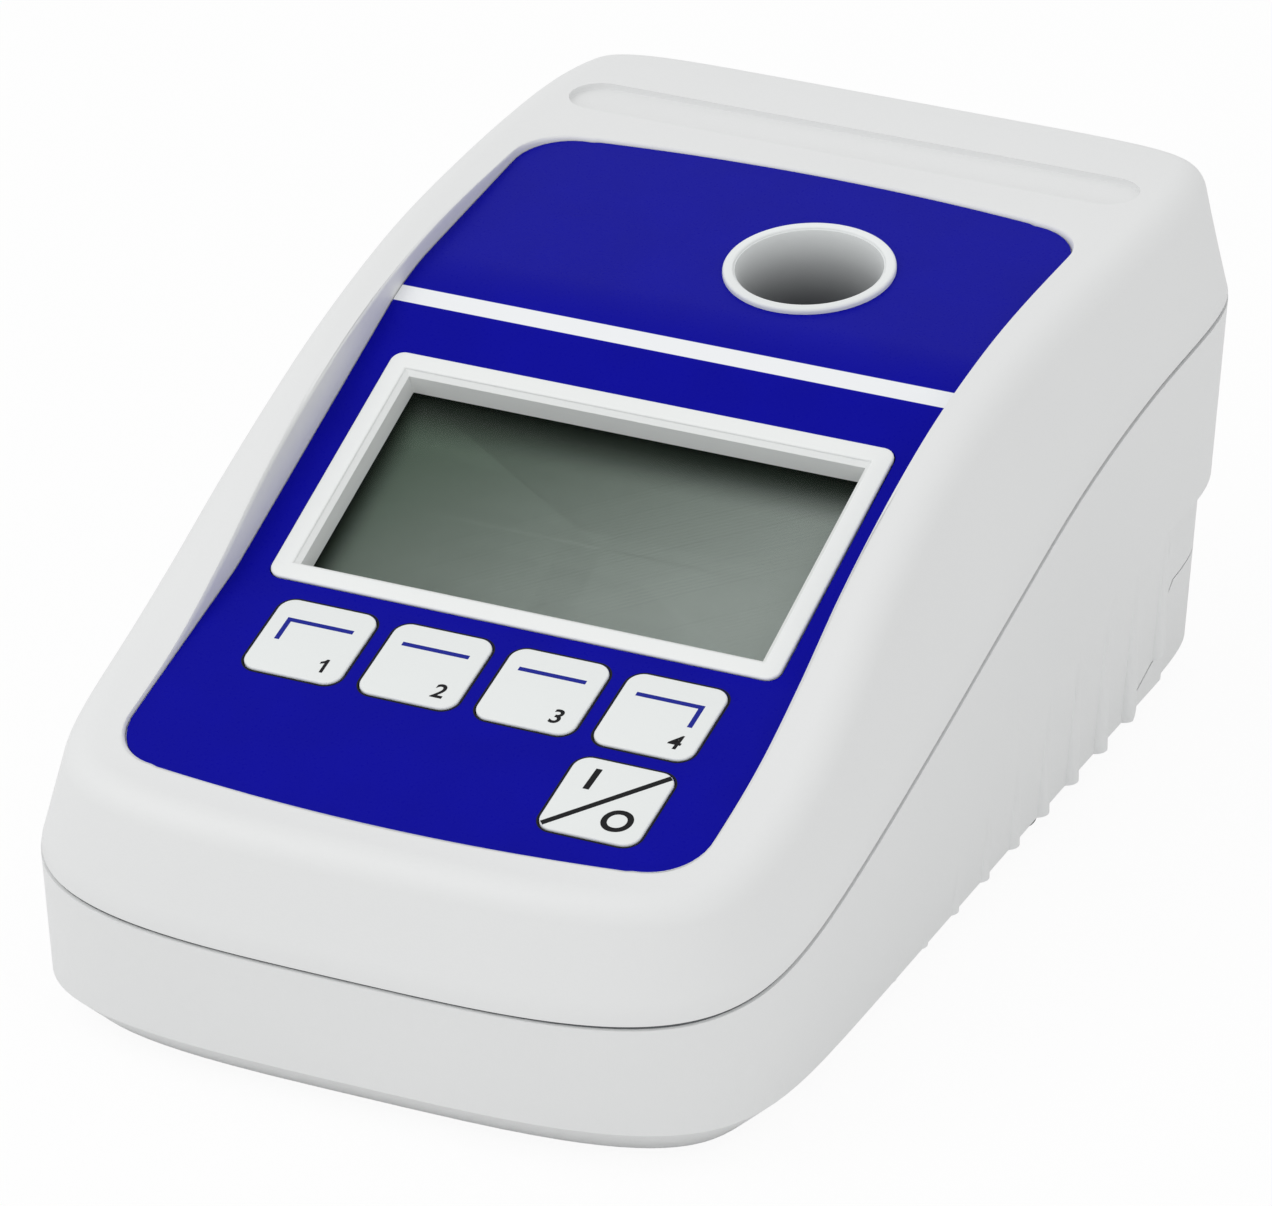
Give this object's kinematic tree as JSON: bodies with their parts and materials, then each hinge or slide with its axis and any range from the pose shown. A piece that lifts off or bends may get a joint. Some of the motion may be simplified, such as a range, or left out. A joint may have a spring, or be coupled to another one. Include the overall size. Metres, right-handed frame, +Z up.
{
  "type": "photometer",
  "caption": "Compact wedge-shaped bench photometer with a round-cell well, a recessed display, press keys and a sliding battery door.",
  "frame": {"origin": "on the surface it stands on, under the middle of the body", "axes": "+X to the user's right, +Y from the low front with the keys to the high rear, +Z up"},
  "size_m": [0.0916, 0.1524, 0.0634],
  "materials": {
    "housing_abs": "light grey-white moulded ABS, fine matt texture",
    "panel_film": "deep blue printed polyester film",
    "frame_abs": "white moulded ABS frame",
    "collar_abs": "white moulded ABS collar",
    "key_film": "white embossed polyester key",
    "seam_rubber": "dark moulded silicone rubber",
    "foot_rubber": "black moulded rubber",
    "black_foam": "black closed-cell foam",
    "clear_acrylic": "clear acrylic window",
    "clear_glass": "polished optical glass",
    "filter_glass": "coated interference filter glass",
    "lcd_glass": "grey-green reflective liquid crystal cell",
    "lamp_epoxy": "clear epoxy lamp",
    "circuit_board": "green solder-masked glass-epoxy board",
    "flex_film": "amber polyimide ribbon",
    "black_epoxy": "black moulded epoxy",
    "black_acetal": "matt black machined acetal",
    "sensor_can": "nickel-plated sensor can",
    "zinc_steel": "zinc-plated steel screw",
    "spring_steel": "bright spring steel",
    "brass": "machined brass insert",
    "cell_jacket": "plain printed cell jacket"
  },
  "bodies": {
    "housing": {"upper_housing": "housing_abs", "lower_housing": "housing_abs", "housing_seal": "seam_rubber", "control_panel": "panel_film", "display_frame": "frame_abs", "display_window": "clear_acrylic", "lcd_glass": "lcd_glass", "zebra_strips": "seam_rubber", "lcd_board": "circuit_board", "ribbon_cable": "flex_film", "key_domes": "spring_steel", "keypad_board": "circuit_board", "board_chips": "black_epoxy", "board_screws": "zinc_steel", "well_collar": "collar_abs", "light_seal": "black_foam", "optics_block": "black_acetal", "cell_spring": "spring_steel", "lens": "clear_glass", "measuring_lamp": "lamp_epoxy", "lamp_board": "circuit_board", "light_filter": "filter_glass", "light_sensor": "sensor_can", "sensor_board": "circuit_board", "optics_screws": "zinc_steel", "housing_screws": "zinc_steel", "threaded_inserts": "brass", "rubber_feet": "foot_rubber", "battery_cells": "cell_jacket", "battery_contacts": "spring_steel"},
    "key_1": {"key_1": "key_film"},
    "key_2": {"key_2": "key_film"},
    "key_3": {"key_3": "key_film"},
    "key_4": {"key_4": "key_film"},
    "power_key": {"power_key": "key_film"},
    "battery_door": {"battery_door": "housing_abs"}
  },
  "joints": [
    {"name": "key_1_press", "type": "slide", "parent": "housing", "child": "key_1", "axis": [0, 0.2682, -0.9634], "range_m": [0, 0.0004], "stiffness_N_per_m": 1500, "springref_m": -0.0003},
    {"name": "key_2_press", "type": "slide", "parent": "housing", "child": "key_2", "axis": [0, 0.2682, -0.9634], "range_m": [0, 0.0004], "stiffness_N_per_m": 1500, "springref_m": -0.0003},
    {"name": "key_3_press", "type": "slide", "parent": "housing", "child": "key_3", "axis": [0, 0.2682, -0.9634], "range_m": [0, 0.0004], "stiffness_N_per_m": 1500, "springref_m": -0.0003},
    {"name": "key_4_press", "type": "slide", "parent": "housing", "child": "key_4", "axis": [0, 0.2682, -0.9634], "range_m": [0, 0.0004], "stiffness_N_per_m": 1500, "springref_m": -0.0003},
    {"name": "power_key_press", "type": "slide", "parent": "housing", "child": "power_key", "axis": [0, 0.2682, -0.9634], "range_m": [0, 0.0004], "stiffness_N_per_m": 1500, "springref_m": -0.0003},
    {"name": "battery_door_slide", "type": "slide", "parent": "housing", "child": "battery_door", "axis": [0, 1, 0], "range_m": [0, 0.012]}
  ]
}
